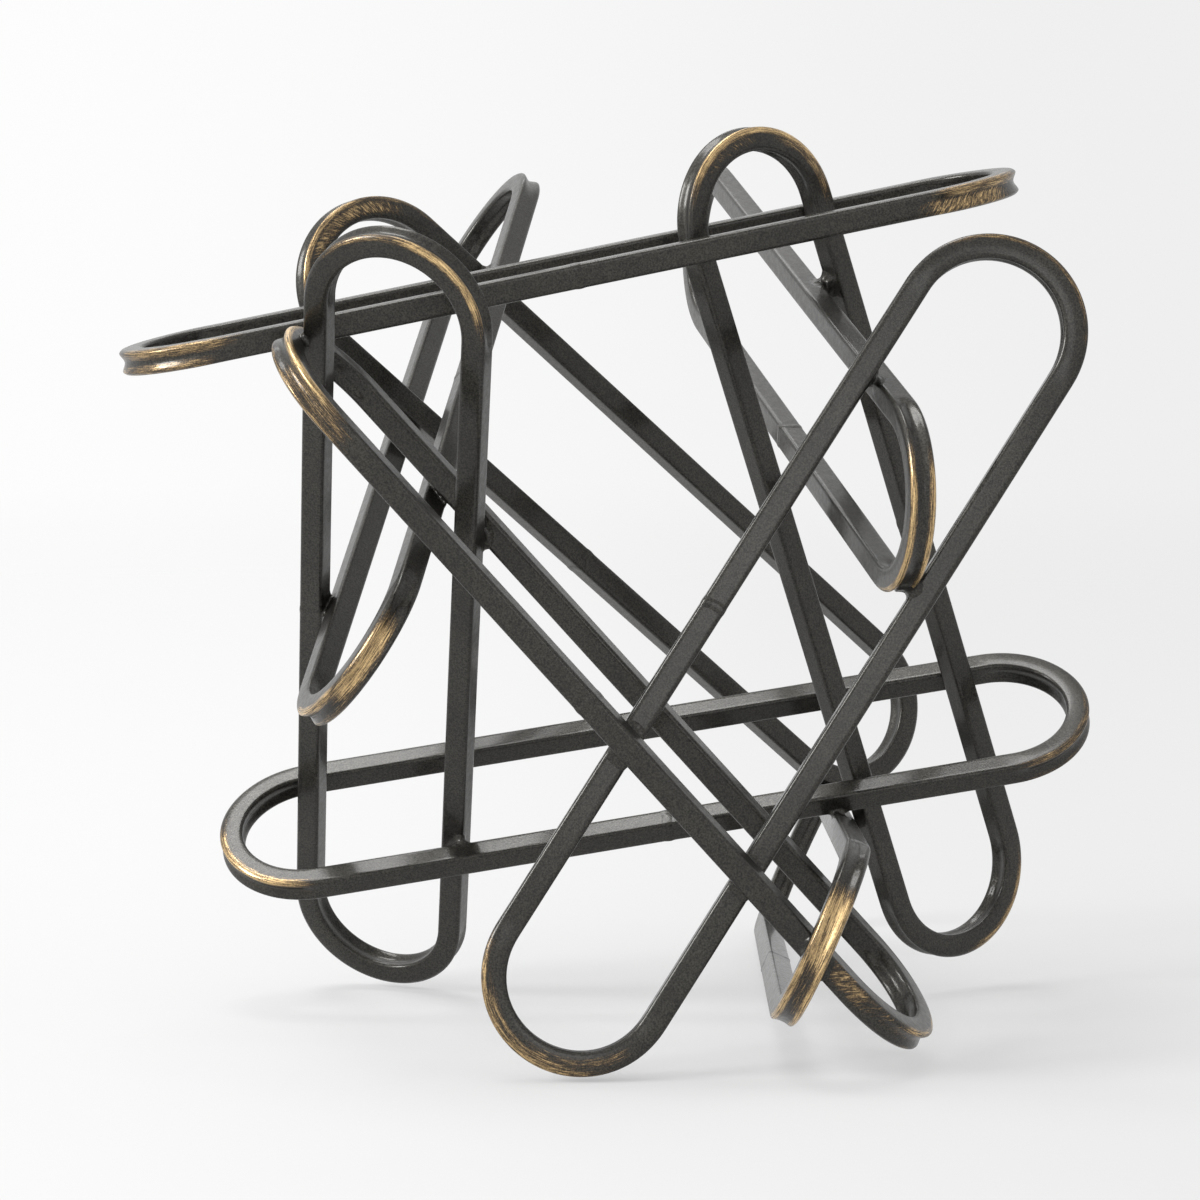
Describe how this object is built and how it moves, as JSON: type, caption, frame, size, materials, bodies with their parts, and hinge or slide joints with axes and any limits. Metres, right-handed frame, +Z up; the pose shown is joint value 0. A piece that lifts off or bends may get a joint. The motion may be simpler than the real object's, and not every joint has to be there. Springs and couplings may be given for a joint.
{
  "type": "welded loop sculpture",
  "caption": "Free-standing tabletop sculpture of interlocking stadium-shaped loops, bent from square steel tube and welded together where they cross.",
  "frame": {"origin": "on the surface it stands on, below the middle of the overall box", "axes": "+X to the right and +Z up as seen from the front, +Y away from the viewer"},
  "size_m": [0.3894, 0.3596, 0.3561],
  "materials": {
    "coated_tube": "dark bronze metallic powder coat, satin, rubbed with antique gold on the outsides of the bends",
    "coated_weld": "the same dark coat over weld beads, slightly rougher"
  },
  "bodies": {
    "root": {"upper_rail_tube": "coated_tube", "base_ring_tube": "coated_tube", "left_upright_tube": "coated_tube", "back_diagonal_tube": "coated_tube", "front_diagonal_tube": "coated_tube", "right_upright_tube": "coated_tube", "front_leaner_tube": "coated_tube", "small_diagonal_tube": "coated_tube", "middle_diagonal_tube": "coated_tube", "floor_brace_tube": "coated_tube", "upper_rail_seam": "coated_weld", "base_ring_seam": "coated_weld", "left_upright_seam": "coated_weld", "back_diagonal_seam": "coated_weld", "front_diagonal_seam": "coated_weld", "right_upright_seam": "coated_weld", "front_leaner_seam": "coated_weld", "small_diagonal_seam": "coated_weld", "middle_diagonal_seam": "coated_weld", "floor_brace_seam": "coated_weld", "ring_to_upright_weld": "coated_weld", "ring_to_tall_left_weld": "coated_weld", "ring_to_tall_right_weld": "coated_weld", "rail_to_tall_weld": "coated_weld", "rail_to_front_weld": "coated_weld", "front_to_upright_high_weld": "coated_weld", "front_to_upright_low_weld": "coated_weld", "front_to_leaner_high_weld": "coated_weld", "front_to_leaner_low_weld": "coated_weld", "front_to_small_weld": "coated_weld", "front_to_brace_weld": "coated_weld", "back_to_small_left_weld": "coated_weld", "back_to_small_right_weld": "coated_weld", "small_to_upright_weld": "coated_weld", "middle_to_tall_weld": "coated_weld", "middle_to_leaner_high_weld": "coated_weld", "middle_to_leaner_low_weld": "coated_weld", "ring_to_brace_weld": "coated_weld"}
  },
  "joints": []
}
